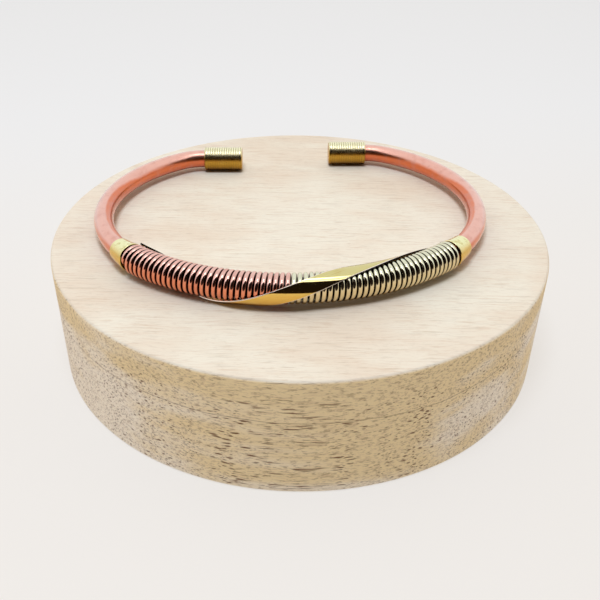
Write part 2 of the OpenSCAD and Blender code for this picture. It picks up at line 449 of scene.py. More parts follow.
@dataclass(frozen=True)
class MetalFinish:
    """A polished metal, drawn or rolled along its length, with fine marks and a little tarnish.

    Its top is painted pale and its sides and underside a deeper colour, a painted reflection of the bright
    dome above and of the warm wood below. Pairs named for facing give how far the surface faces up, from -1
    to 1, where something starts and ends. Other pairs named for a span give distances in the same way. A
    detail is the detail and roughness of a noise.
    """

    name: str
    # Painted reflection: top is the colour where the surface faces the bright dome, side and under where it faces the
    # warm wood.
    top: Colour
    side: Colour
    under: Colour
    tarnish: Colour
    roughness: float
    roughness_spread: float = 0.06
    rough_marks: Pair = (0.4, 0.8)
    coat: float = 0.0
    coat_roughness: float = 0.06
    side_facing: Pair = (0.72, 0.3)
    under_facing: Pair = (0.1, -0.7)
    cloud: float = 2.5 * MM
    cloud_detail: Pair = (4.0, 0.55)
    cloud_facing: float = 0.3
    tarnish_share: float = 0.3
    tarnished_clouds: Pair = (0.45, 0.75)
    tarnished_marks: Pair = (0.55, 0.8)
    mark_length: float = 3.0 * MM
    mark_width: float = 0.06 * MM
    mark_depth: float = 0.0006 * MM
    mark_detail: Pair = (4.0, 0.6)
    mark_share: float = 0.12
    winding_middle: float = 27.56 * MM
    # Painted reflection of the wood on the inner side of the bends.
    inner_share: float = 0.0
    inner_radius: float = ROD_RADIUS
    inner_span: Pair = (60.0 * MM, 44.0 * MM)
    # Painted shade on the length of rod hidden in the winding.
    hidden: float = 0.0
    hidden_fade: float = 0.25 * MM
    hidden_shade_colour: Colour = shade(40, 18, 10)
    # Painted shade in turned grooves: darker by the cosine of the place in each groove.
    groove_pitch: float = 0.0
    groove_start: float = 0.3 * MM
    groove_cosine: Pair = (-0.2, 0.9)
    groove_shade_share: float = 0.38
    groove_shade_colour: Colour = shade(150, 116, 44)
    # Painted shade between wire turns, narrower where the wire faces up; on the band, a painted highlight on its
    # edges.
    edge_span: Pair | None = None
    edge_rise: float = 0.06 * MM
    edge_facing: Pair = (0.3, 0.9)
    edge_shade_and_highlight_colour: Colour = shade(34, 16, 10)
    # Painted shade along the band's lower edge.
    lower_shade_span: Pair | None = None
    lower_shade_colour: Colour = shade(34, 24, 10)

    def material(self) -> bpy.types.Material:
        """Builds the material.

        The colour goes from the top's to the side's and on to the underside's as the surface turns from facing
        up to facing down, a painted reflection. Clouds of tarnish lie over it. Fine marks run along the
        straightened piece: they tarnish and roughen it, and stand in a very low bump. Painted shade and painted
        highlights come last.

        Returns:
            The material.
        """
        made, graph = start_material(self.name)
        straight = graph.attribute("straight")
        along, across = 1 / self.mark_length, 1 / self.mark_width
        marks = graph.noise(straight, (along, across, across), *self.mark_detail)
        clouds = graph.noise(straight, (1 / self.cloud,) * 3, *self.cloud_detail)
        up = self._upwards(graph, straight) + (clouds - 0.5) * self.cloud_facing
        # Painted reflection: from the top's colour to the side's and the under's as the surface turns down.
        colour = graph.mix(up.fade(*self.side_facing), self.top, self.side)
        colour = graph.mix(up.fade(*self.under_facing), colour, self.under)
        spread = clouds.fade(*self.tarnished_clouds) * self.tarnish_share
        spread = spread + marks.fade(*self.tarnished_marks) * self.mark_share
        colour = self._painted_shade_and_highlight(graph, straight, up, graph.mix(spread, colour, self.tarnish))
        rough = self.roughness + (clouds - 0.5) * self.roughness_spread
        rough = rough + marks.fade(*self.rough_marks) * self.roughness_spread
        bump = graph.node("ShaderNodeBump", {"Height": marks, "Distance": self.mark_depth, "Strength": 1.0})
        graph.principled({"Base Color": colour, "Metallic": 1.0, "Roughness": rough, "Normal": bump.outputs[0],
                          "Coat Weight": self.coat, "Coat Roughness": self.coat_roughness})
        return made

    def _upwards(self, graph: Graph, straight: bpy.types.NodeSocket) -> Value:
        """How far the surface counts as facing up for its painted reflection, from -1 to 1.

        The inner side of a bent rod mirrors the wood and the rest of the cuff, so there it counts as facing
        less far up, by a share of the place inwards over the radius, and takes the painted reflection of the wood
        sooner. This fades away far from the winding.

        Args:
            graph: The material's graph.
            straight: The place on the straightened piece.

        Returns:
            The value.
        """
        up = graph.part(graph.coordinates("Normal"), 2)
        if not self.inner_share:
            return up
        far = self._from_winding(graph, straight)
        inwards = graph.maths("MINIMUM", graph.part(straight, 1), 0.0)
        return up + inwards * far.fade(*self.inner_span) * (self.inner_share / self.inner_radius)

    def _from_winding(self, graph: Graph, straight: bpy.types.NodeSocket) -> Value:
        """How far a place is from the middle of the winding, along the path."""
        return graph.maths("ABSOLUTE", graph.part(straight, 0) - self.winding_middle)

    def _painted_shade_and_highlight(self, graph: Graph, straight: bpy.types.NodeSocket, up: Value,
              colour: bpy.types.NodeSocket) -> bpy.types.NodeSocket:
        """Adds painted shade and painted highlights at certain places.

        Painted shade darkens the length that is hidden in the winding. Painted shade also lies in turned grooves,
        by the cosine of the place in the groove. Past a distance from its middle a strip has an edge colour,
        painted shade between wire turns and a painted highlight on the band's edges, which starts farther out
        where the strip faces up, and it can have painted shade on its lower edge.

        Args:
            graph: The material's graph.
            straight: The place on the straightened piece.
            up: How far the surface faces up.
            colour: The clean metal's colour.

        Returns:
            The colour with the painted shade and highlights.
        """
        # Painted shade on the rod where it lies hidden in the winding.
        if self.hidden:
            far = self._from_winding(graph, straight)
            covered = far.fade(self.hidden / 2 + self.hidden_fade, self.hidden / 2)
            colour = graph.mix(covered, colour, self.hidden_shade_colour)
        # Painted shade in the grooves.
        if self.groove_pitch:
            turn = (graph.part(straight, 0) - self.groove_start) * (2 * math.pi / self.groove_pitch)
            grooves = graph.maths("COSINE", turn).fade(*self.groove_cosine) * self.groove_shade_share
            colour = graph.mix(grooves, colour, self.groove_shade_colour)
        # Painted shade at the wires' edges, painted highlight at the band's edges.
        if self.edge_span:
            edge = graph.maths("ABSOLUTE", graph.part(straight, 1)) - up.fade(*self.edge_facing) * self.edge_rise
            colour = graph.mix(edge.fade(*self.edge_span), colour, self.edge_shade_and_highlight_colour)
        # Painted shade along the band's lower edge.
        if self.lower_shade_span:
            colour = graph.mix(graph.part(straight, 1).fade(*self.lower_shade_span), colour, self.lower_shade_colour)
        return colour


@dataclass(frozen=True)
class WoodFinish:
    """Pale sanded hardwood with long thin pores, cut with the grain along the block's top.

    The pattern is solid: the top shows the pores as streaks, and the ends of the grain as dots. A pair named for
    a share or a relief gives how much of something the block's side has, and how much less of it the top has.
    """

    name: str = "pale_hardwood"
    grain_turn: float = 6.67
    block_h: float = BLOCK_HEIGHT
    rim: float = BLOCK_RIM
    top_rims: Pair = (0.9, 0.15)
    rim_zone: Pair = (0.72, 0.9)
    top_light: Colour = shade(227, 224, 211)
    top_warm: Colour = shade(221, 211, 195)
    warm_blotches: Pair = (0.36, 0.66)
    # The side's own pale and golden tones, each painted brighter than the wood is, as painted light on the side.
    side_pale_and_painted_light: Colour = shade(255, 243, 224)
    side_gold_and_painted_light: Colour = shade(246, 222, 174)
    gold_layers: Pair = (0.46, 0.7)
    gold_near_rim: float = 0.2
    gold_in_middle: float = 0.12
    gold_middle: Pair = (30 * MM, 12 * MM)
    layers: Noise = ((12.0, 60.0, 110.0), 3.0, 0.6)
    blotches: Noise = ((40.0, 75.0, 75.0), 3.0, 0.6)
    streaks: Noise = ((1 / (7.0 * MM), 1 / (0.3 * MM), 1 / (0.3 * MM)), 4.0, 0.65)
    streak: Colour = shade(190, 158, 126)
    streak_fade: Pair = (0.48, 0.74)
    streak_share: Pair = (0.66, 0.28)
    speckle: Noise = ((900.0, 3000.0, 3000.0), 2.0, 0.65)
    speckle_fade: Pair = (0.5, 0.7)
    speckle_share: Pair = (0.44, 0.36)
    pore: Colour = shade(112, 68, 28)
    pore_length: float = 9.0 * MM
    pore_gap: float = 0.44 * MM
    pore_sizes: tuple[float, ...] = (1.0, 0.62, 1.5)
    pore_edge: Pair = (0.32, 0.12)
    pore_tint: Pair = (0.34, 0.8)
    pore_share: Pair = (0.95, 0.8)
    pore_loss_near_rim: float = 0.6
    line_height: float = 13.6 * MM
    line_wave: float = 1.6 * MM
    line_width: float = 0.12 * MM
    line_share: Pair = (0.55, 0.55)
    bend_length: float = 5.0 * MM
    bend_detail: float = 2.0
    bend: float = 0.9 * MM
    roughness: float = 0.62
    streak_roughness: float = 0.12
    top_smoothness: float = 0.08
    relief: float = 0.06 * MM
    relief_strength: float = 0.8
    streak_relief: float = 0.35
    speckle_relief: Pair = (0.6, 0.48)
    pore_relief: Pair = (1.5, 1.0)

    def _pores(self, graph: Graph, grain: bpy.types.NodeSocket, size: float) -> Value:
        """Thin spindles along the grain, one in each stretched cell, and none in about a third of the cells.

        Args:
            graph: The material's graph.
            grain: Coordinates along and across the grain.
            size: How large the pores are, over the usual size.

        Returns:
            How deep in a pore a place is, from 0 to 1.
        """
        scale = (1 / (self.pore_length * size), 1 / (self.pore_gap * size), 1 / (self.pore_gap * size))
        vector = graph.placed(grain, scale, shift=(size, size, size))
        cells = graph.node("ShaderNodeTexVoronoi", {"Vector": vector, "Scale": 1.0}).outputs
        tint = Value(graph, graph.node("ShaderNodeSeparateColor", {0: cells["Color"]}).outputs[0])
        return Value(graph, cells["Distance"]).fade(*self.pore_edge) * tint.fade(*self.pore_tint)

    def _grain(self, graph: Graph, block: bpy.types.NodeSocket) -> bpy.types.NodeSocket:
        """Coordinates along and across the grain, which waves a little.

        Args:
            graph: The material's graph.
            block: Coordinates along and across the block.

        Returns:
            The coordinates, moved across the grain by soft noise times the bend.
        """
        vector = graph.placed(block, (1 / self.bend_length,) * 3)
        wave = graph.node("ShaderNodeTexNoise", {"Vector": vector, "Scale": 1.0, "Detail": self.bend_detail})
        sockets = {0: wave.outputs["Color"], 1: (0.0, self.bend, self.bend), 2: block}
        return graph.node("ShaderNodeVectorMath", sockets, operation="MULTIPLY_ADD").outputs[0]

    def _shared(self, amount: Value, top: Value, share: Pair) -> Value:
        """An amount times its share, which is less on the block's top."""
        return amount * (share[0] - top * share[1])

    def material(self) -> bpy.types.Material:
        """Builds the material.

        Broad layers and fine streaks run along the grain, and pores are sunk into them. The side is yellower
        than the sanded top, most of all near the rim and in the middle of the front, and its colours are painted
        paler than the wood is, as painted light on it. It has darker streaks and pores, is speckled where it cuts
        across the grain, and one thin dark layer line runs round it.

        Returns:
            The material.
        """
        made, graph = start_material(self.name)
        place = graph.coordinates("Object")
        block = graph.placed(place, (1.0, 1.0, 1.0), self.grain_turn)
        grain = self._grain(graph, block)
        height = graph.part(place, 2)
        top = height.fade(*(self.block_h - self.rim * below for below in self.top_rims))
        near_rim = height.fade(*(self.block_h * share for share in self.rim_zone))
        middle = graph.maths("ABSOLUTE", graph.part(block, 0)).fade(*self.gold_middle)
        layers = graph.noise(grain, *self.layers)
        blotches = graph.noise(block, *self.blotches)
        streaks = graph.noise(grain, *self.streaks)
        speckle = graph.noise(grain, *self.speckle)
        pores = self._pores(graph, grain, self.pore_sizes[0])
        for size in self.pore_sizes[1:]:
            pores = graph.maths("MAXIMUM", pores, self._pores(graph, grain, size))
        gold = (layers + near_rim * self.gold_near_rim + middle * self.gold_in_middle).fade(*self.gold_layers)
        side_colour = graph.mix(gold, self.side_pale_and_painted_light, self.side_gold_and_painted_light)
        top_colour = graph.mix(blotches.fade(*self.warm_blotches), self.top_light, self.top_warm)
        colour = graph.mix(top, side_colour, top_colour)
        seen = self._shared(streaks.fade(*self.streak_fade), top, self.streak_share)
        colour = graph.mix(seen, colour, self.streak)
        seen = self._shared(speckle.fade(*self.speckle_fade), top, self.speckle_share)
        colour = graph.mix(seen, colour, self.pore)
        seen = self._shared(pores, top, self.pore_share) * (1 - near_rim * (1 - top) * self.pore_loss_near_rim)
        colour = graph.mix(seen, colour, self.pore)
        line = graph.maths("ABSOLUTE", height - self.line_height + (blotches - 0.5) * self.line_wave)
        seen = self._shared(line.fade(self.line_width, 0.0), top, self.line_share)
        colour = graph.mix(seen, colour, self.pore)
        rough = self.roughness + streaks * self.streak_roughness - top * self.top_smoothness
        relief = streaks * self.streak_relief + self._shared(speckle, top, self.speckle_relief)
        relief = relief - self._shared(pores, top, self.pore_relief)
        sockets = {"Height": relief, "Distance": self.relief, "Strength": self.relief_strength}
        bump = graph.node("ShaderNodeBump", sockets)
        graph.principled({"Base Color": colour, "Roughness": rough, "Normal": bump.outputs[0]})
        return made


# Sub-assemblies


@dataclass
class Rod:
    """The round copper rod that the cuff is bent from."""

    path: CuffPath
    radius: float = ROD_RADIUS
    cap_depth: float = 5.7 * MM
    step: float = 0.3 * MM
    columns: int = 72
    undulation: float = 0.012 * MM
    wander_mm: Triple = (9.1, 5.3, 14.7)
    wander_twist: float = 1.5
    wander_seed: int = 3
    bare_mm: float = 3.5

    def surface(self) -> Surface:
        """A tube along the path. Its radius wanders a little on the bare stretches, where it was bent by hand.

        The wander is a sum of sines of the place along the rod, shifted by the cosine of the angle round it, and
        fades away over a millimetre towards the collars and the caps.

        Returns:
            The surface.
        """
        start = self.path.seat(Side.LEFT) - self.cap_depth
        end = self.path.seat(Side.RIGHT) + self.cap_depth
        length = np.linspace(start, end, round((end - start) / self.step))[:, None]
        turned = np.linspace(0, 360, self.columns, endpoint=False)[None, :]
        bare = np.clip(np.maximum(-length, length - self.path.wound_length) / MM - self.bare_mm, 0, 1)
        to_cap = np.minimum(length - self.path.seat(Side.LEFT), self.path.seat(Side.RIGHT) - length)
        place = length / MM + np.cos(np.radians(turned)) * self.wander_twist
        wander = waves(place, self.wander_mm, self.wander_seed)
        radius = self.radius - self.undulation * (1 + wander) / 2 * bare * np.clip(to_cap / MM, 0, 1)
        return Surface("cuff_rod", *self.path.lay(length, radius, turned))

    def build(self, material: bpy.types.Material) -> bpy.types.Object:
        """Builds the rod."""
        return self.surface().build(material, Slot.COPPER, "copper_rod")


@dataclass
class TurnedPiece:
    """A piece turned round the rod on one side of the cuff. Its places count from the front towards the tip."""

    path: CuffPath
    side: Side
    columns: int = 96

    def carried(self, kind: str, start: float, outline: np.ndarray, closed: bool) -> Surface:
        """Carries an outline round the rod, bent with it.

        Args:
            kind: What the piece is called, without its side.
            start: The place on the path from which the outline counts.
            outline: Rows of place and radius, taken in the other order for the left piece.
            closed: Whether the outline runs back into itself.

        Returns:
            The surface.
        """
        outline = outline[:: self.side.value]
        place = start + self.side.value * outline[:, :1]
        turned = np.linspace(0, 360, self.columns, endpoint=False)[None, :]
        points, straight = self.path.lay(place, outline[:, 1:], turned)
        return Surface(f"{kind}_{self.side.name.lower()}", points, straight, closed)


@dataclass
class EndCap(TurnedPiece):
    """A turned brass cap with a blind bore, pushed over a tip of the rod, with fine ridges round it."""

    radius: float = 2.23 * MM
    length: float = TIP_LENGTH
    bore_radius: float = BORE_RADIUS
    bore_length: float = 5.9 * MM
    bore_corner: float = 0.1 * MM
    mouth: tuple[Pair, ...] = ((0.12 * MM, 0.0), (0.03 * MM, 0.02 * MM), (0.0, 0.09 * MM))
    rim: float = 0.3 * MM
    rim_points: int = 8
    ridges: int = 15
    ridge_depth: float = 0.06 * MM
    ridge_points: int = 12
    sharpness: int = 2
    plain_points: int = 6
    pole: float = 0.05 * MM
    face_rings: tuple[float, ...] = (0.8, 0.6, 0.4, 0.2)

    def profile(self) -> np.ndarray:
        """The outline from the bottom of the bore, out through the mouth, over the ridges to the end face.

        A rim is a quarter circle, and the bore widens by the mouth's steps. Between the rims the radius dips by
        the ridge depth at each groove: the dip is the cosine of the place in the ridge, brought to between 0
        and 1 and sharpened by a power so that the crests are broad.

        Returns:
            Rows of place along the cap and radius.
        """
        rising, falling = quarter_circle(self.rim, self.rim_points)
        rim = np.stack([rising, self.radius - falling], -1)
        body = np.linspace(self.rim, self.length - self.rim, self.ridges * self.ridge_points + 1)
        phase = (body - self.rim) / (self.length - 2 * self.rim) * self.ridges
        dip = (0.5 + 0.5 * np.cos(2 * np.pi * phase)) ** self.sharpness
        dip[: self.plain_points] = dip[-self.plain_points :] = 0
        bore = [[self.bore_length, self.pole], [self.bore_length, self.bore_radius - self.bore_corner],
                [self.bore_length - self.bore_corner, self.bore_radius]]
        bore += [[place, self.bore_radius + wider] for place, wider in self.mouth]
        side = np.stack([body, self.radius - self.ridge_depth * dip], -1)[1:-1]
        end = np.stack([self.length - rim[::-1, 0], rim[::-1, 1]], -1)
        face = [[self.length, self.radius * share] for share in self.face_rings]
        return np.vstack([bore, rim, side, end, face, [[self.length, self.pole]]])

    def build(self, material: bpy.types.Material) -> bpy.types.Object:
        """Turns the outline round the straight tip of the rod.

        Args:
            material: What the cap is made of. Its pattern counts from the cap's own start.

        Returns:
            The object.
        """
        outline = self.profile()
        surface = self.carried("cap", self.path.seat(self.side), outline, closed=False)
        surface.straight[..., 0] = outline[:: self.side.value, :1]
        return surface.build(material, Slot.BRASS, f"end_cap_{self.side.name.lower()}")


@dataclass
class Collar(TurnedPiece):
    """A polished brass cone over the rod, its wide end against the wire, with softened edges."""

    radius: float = 2.3 * MM
    tip_radius: float = 1.9 * MM
    length: float = 3.5 * MM
    bore_radius: float = BORE_RADIUS
    bore_inset: float = 0.02 * MM
    bore_points: int = 16
    gap: float = 0.12 * MM
    edge: float = 0.12 * MM
    edge_points: int = 9
    side_points: int = 12

    def profile(self) -> np.ndarray:
        """The closed outline of the cone's wall, up over its outside and back along its bore.

        The outside narrows evenly from the wire to the bare rod. Both outer edges are quarter circles.

        Returns:
            Rows of place along the collar and radius.
        """
        rising, falling = quarter_circle(self.edge, self.edge_points)
        far = self.gap + self.length
        slope = (self.radius - self.tip_radius) / self.length
        wire_edge = np.stack([self.gap + rising, self.radius - slope * self.edge - falling], -1)
        body = np.linspace(self.gap + self.edge, far - self.edge, self.side_points + 2)[1:-1]
        outside = np.stack([body, self.radius - slope * (body - self.gap)], -1)
        rod_edge = np.stack([far - falling, self.tip_radius + slope * self.edge - rising], -1)
        inside = np.linspace(far - self.bore_inset, self.gap + self.bore_inset, self.bore_points)
        bore = np.stack([inside, np.full(inside.size, self.bore_radius)], -1)
        return np.vstack([wire_edge, outside, rod_edge, bore])

    def build(self, material: bpy.types.Material) -> bpy.types.Object:
        """Carries the outline round the rod, at an end of the winding."""
        surface = self.carried("sleeve", self.path.collar_seat(self.side), self.profile(), closed=True)
        return surface.build(material, Slot.BRASS, f"collar_{self.side.name.lower()}")


@dataclass
class WireCoils:
    """Two flattened wires, copper and then pale, wound side by side round the rod as one long coil."""

    path: CuffPath
    copper_turns: float = 30.5
    pale_turns: float = 32.0
    fill: float = 0.86
    thickness: float = 0.65 * MM
    inner_radius: float = 1.75 * MM
    fit: float = WIRE_FIT
    end_gap: float = 0.02
    steps: int = 72
    corners: int = 16
    squareness: float = 2.15
    cut_turn: float = 0.05
    cut_least: float = 0.15
    wander: float = 0.012 * MM
    drift_turns: Triple = (1.37, 3.9, 7.3)
    drift_seed: int = 11
    lift_turns: Pair = (0.91, 2.3)
    lift_seed: int = 12

    @property
    def pitch(self) -> float:
        """Distance between turns: the winding's length, less the fit at each end, shared among all turns."""
        return (self.path.wound_length - 2 * self.fit) / (self.copper_turns + self.pale_turns + self.fill)

    @property
    def width(self) -> float:
        """Width of the flattened wire."""
        return self.pitch * self.fill

    def surface(self, name: str, start: float, end: float) -> Surface:
        """A flattened wire wound from one turn to another.

        Its middle moves along the rod by one pitch and round it by 360 degrees for each turn. Its section is a
        superellipse: half the width times the cosine, and half the thickness times the sine, each raised to
        the power 2 over squareness with its sign kept. At each end the wire thins to a cut over a small part of
        a turn. Its middle wanders a little along the rod and outwards.

        Args:
            name: The piece's name.
            start: The turn at which the wire starts, where 0 is at the left collar on the outer side.
            end: The turn at which it ends.

        Returns:
            The surface.
        """
        turn = np.linspace(start, end, round((end - start) * self.steps))[:, None]
        corner = np.linspace(0, 2 * np.pi, self.corners, endpoint=False)[None, :]
        power = 2 / self.squareness
        across = np.sign(np.cos(corner)) * np.abs(np.cos(corner)) ** power * self.width / 2
        outwards = np.sign(np.sin(corner)) * np.abs(np.sin(corner)) ** power * self.thickness / 2
        nearest = np.minimum(turn - start, end - turn)
        cut = np.sqrt(np.clip(nearest / self.cut_turn, self.cut_least, 1))
        drift = self.wander * waves(turn, self.drift_turns, self.drift_seed) * np.clip(nearest, 0, 1)
        lift = self.wander * (1 + waves(turn, self.lift_turns, self.lift_seed)) / 2 * np.clip(nearest, 0, 1)
        length = self.fit + self.width / 2 + turn * self.pitch + drift + across * cut
        radius = self.inner_radius + self.thickness / 2 + lift + outwards * cut
        points, _ = self.path.lay(length, radius, turn * 360)
        run = turn * 2 * np.pi * (self.inner_radius + self.thickness / 2)
        straight = np.stack(np.broadcast_arrays(run, across, outwards), -1)
        return Surface(name, points, straight)

    def build(self, copper: bpy.types.Material, pale: bpy.types.Material) -> None:
        """Builds both wires. The pale one goes on where the copper one ends.

        Args:
            copper: What the left wire is made of.
            pale: What the right wire is made of.
        """
        total = self.copper_turns + self.pale_turns
        first = self.surface("coil_copper", 0.0, self.copper_turns)
        first.build(copper, Slot.COPPER_WIRE, "copper_wire_coil")
        second = self.surface("coil_pale", self.copper_turns + self.end_gap, total)
        second.build(pale, Slot.PALE_WIRE, "pale_wire_coil")


@dataclass
class Band:
    """The brass band that winds about once round the wires on its way from collar to collar."""

    path: CuffPath
    width: float = 2.35 * MM
    thickness: float = 0.3 * MM
    inner_radius: float = 2.4491 * MM
    fit: float = WIRE_FIT
    start_angle: float = -199.0
    rate: float = 8.7
    late_rate: float = 5.9
    steady_from: float = 5.0 * MM
    steady_to: float = 31.4 * MM
    late_from: float = 37.0 * MM
    bevel: float = 0.1 * MM
    bevel_angles: Pair = (15.0, 75.0)
    bevel_points: int = 4
    deepest: float = 0.3
    face_points: int = 8
    back_points: int = 16
    back_share: float = 0.95
    rows: int = 700

    def _pace(self, length: np.ndarray) -> np.ndarray:
        """The rate at a place: it grows evenly from 0 to the steady rate, and falls evenly to the late one."""
        fall = np.clip((length - self.steady_to) / (self.late_from - self.steady_to), 0, 1)
        return np.minimum(self.rate * length / self.steady_from, self.rate - (self.rate - self.late_rate) * fall) / MM

    def _angle(self, length: np.ndarray) -> np.ndarray:
        """Degrees round the rod of the band's middle, which is the sum of its pace so far.

        Args:
            length: Places along the path.

        Returns:
            The degrees at these places.
        """
        rise = np.minimum(length, self.steady_from)
        fall = np.clip(length, self.steady_to, self.late_from) - self.steady_to
        late = np.maximum(0, length - self.late_from)
        run = rise**2 / (2 * self.steady_from) + np.maximum(0, length - self.steady_from)
        lost = fall**2 / (2 * (self.late_from - self.steady_to)) + late
        return self.start_angle + (self.rate * run - (self.rate - self.late_rate) * lost) / MM

    def surface(self) -> Surface:
        """The band as a closed strip, bent to the wires' roundness, its outer edges bevelled.

        Its section goes from the middle of the outer face, over one edge, back along the inner face and over
        the other edge. Its width is measured square to the band, so that it covers more degrees of the rod
        where it slants: half the width over the radius, over the cosine of the slant. A bevel is a quarter
        circle that goes no deeper than a share of the thickness.

        Returns:
            The surface.
        """
        length = np.linspace(self.fit, self.path.wound_length - self.fit, self.rows)[:, None]
        slant = np.arctan(np.radians(self._pace(length)) * self.inner_radius)
        half = np.degrees(self.width / 2 / self.inner_radius / np.cos(slant))
        flat = 1 - 2 * self.bevel / self.width
        corner = np.radians(np.linspace(*self.bevel_angles, self.bevel_points))
        outer = np.concatenate([np.linspace(0, flat, self.face_points), flat + (1 - flat) * np.sin(corner), [1.0]])
        drop = np.concatenate([np.zeros(self.face_points), (1 - np.cos(corner)) * self.bevel, [self.bevel]])
        rise = self.thickness - np.minimum(drop, self.thickness * self.deepest)
        back = np.concatenate([[1.0], np.linspace(self.back_share, -self.back_share, self.back_points), [-1.0]])
        sheet = np.concatenate([outer, back, -outer[:0:-1]])
        radius = self.inner_radius + np.concatenate([rise, np.zeros(back.size), rise[:0:-1]])[None, :]
        points, straight = self.path.lay(length, radius, self._angle(length) + half * sheet[None, :])
        straight[..., 1] = self.width / 2 * sheet
        straight[..., 2] = radius
        return Surface("band", points, straight)

    def build(self, material: bpy.types.Material) -> bpy.types.Object:
        """Builds the band."""
        return self.surface().build(material, Slot.BRASS, "brass_band")


@dataclass
class Block:
    """The turned wooden block, sanded by hand, with rounded rims."""

    radius: float = 42.5 * MM
    height: float = BLOCK_HEIGHT
    rim: float = BLOCK_RIM
    pole: float = 0.3 * MM
    columns: int = 360
    face_rings: int = 40
    rim_rings: int = 10
    side_rings: int = 22
    unevenness: float = 0.05 * MM
    wander_counts: tuple[int, ...] = (3, 7, 16)
    wander_slope: float = 0.4
    wander_seed: int = 5

    def surface(self) -> Surface:
        """A disc turned round Z from its underside to its top.

        Each rim is a quarter circle. The side stands back from the true radius by up to the unevenness, by a
        smooth wander round it and up it.

        Returns:
            The surface.
        """
        flat = np.linspace(self.pole, self.radius - self.rim, self.face_rings)[:-1]
        rim_z, inwards = quarter_circle(self.rim, self.rim_rings)
        rim_r = self.radius - inwards
        side_z = np.linspace(self.rim, self.height - self.rim, self.side_rings + 2)[1:-1]
        radius = np.concatenate([flat, rim_r, np.full(side_z.size, self.radius), rim_r[::-1], flat[::-1]])[:, None]
        lower, upper = np.zeros(flat.size), np.full(flat.size, self.height)
        height = np.concatenate([lower, rim_z, side_z, self.height - rim_z[::-1], upper])[:, None]
        around = np.linspace(0, -2 * np.pi, self.columns, endpoint=False)[None, :]
        lengths = tuple(2 * np.pi * self.radius / count for count in self.wander_counts)
        wander = waves(around * self.radius + height * self.wander_slope, lengths, self.wander_seed)
        edge = np.clip((radius - self.radius + 2 * self.rim) / self.rim, 0, 1)
        radius = radius - self.unevenness * (1 + wander) / 2 * edge
        points = np.stack(np.broadcast_arrays(radius * np.cos(around), radius * np.sin(around), height), -1)
        return Surface("block", points, points)

    def build(self, material: bpy.types.Material) -> bpy.types.Object:
        """Builds the block."""
        return self.surface().build(material, Slot.WOOD, "display_block")


# The scene around the object


@dataclass
class Viewpoint:
    """The camera.

    Its place is given from the middle of the block's top, in the picture's own frame, whose Y axis points
    straight away from it.
    """

    distance: float = 139.8 * MM
    elevation: float = 28.541
    turn: float = 6.67
    pan: float = 0.0552
    tilt: float = 33.802
    roll: float = 0.891
    top_height: float = 20.84 * MM
    sensor: float = 36.0
    focal_share: float = 791.9 / 600
    nearest: float = 0.005
    farthest: float = 20.0

    def build(self) -> bpy.types.Object:
        """Makes the camera.

        Its direction follows from pan and tilt, and right and up are turned by the roll. The picture's frame
        is then turned about Z into the CAD frame.

        Returns:
            The camera.
        """
        pan, tilt, roll, rise = (math.radians(a) for a in (self.pan, self.tilt, self.roll, self.elevation))
        ahead = np.array([math.sin(pan) * math.cos(tilt), math.cos(pan) * math.cos(tilt), -math.sin(tilt)])
        right = np.cross(ahead, [0, 0, 1])
        right /= np.linalg.norm(right)
        up = np.cross(right, ahead)
        right, up = math.cos(roll) * right + math.sin(roll) * up, math.cos(roll) * up - math.sin(roll) * right
        place = np.array([0, -math.cos(rise), math.sin(rise)]) * self.distance + [0, 0, self.top_height]
        pose = Matrix.Identity(4)
        for column, axis in enumerate((right, up, -ahead, place)):
            for row in range(3):
                pose[row][column] = float(axis[row])
        data = bpy.data.cameras.new("camera")
        data.sensor_fit = "HORIZONTAL"
        data.sensor_width = self.sensor
        data.lens = self.sensor * self.focal_share
        data.clip_start = self.nearest
        data.clip_end = self.farthest
        camera = bpy.data.objects.new("camera", data)
        camera.matrix_world = Matrix.Rotation(math.radians(-self.turn), 4, "Z") @ pose
        bpy.context.scene.collection.objects.link(camera)
        bpy.context.scene.camera = camera
        return camera


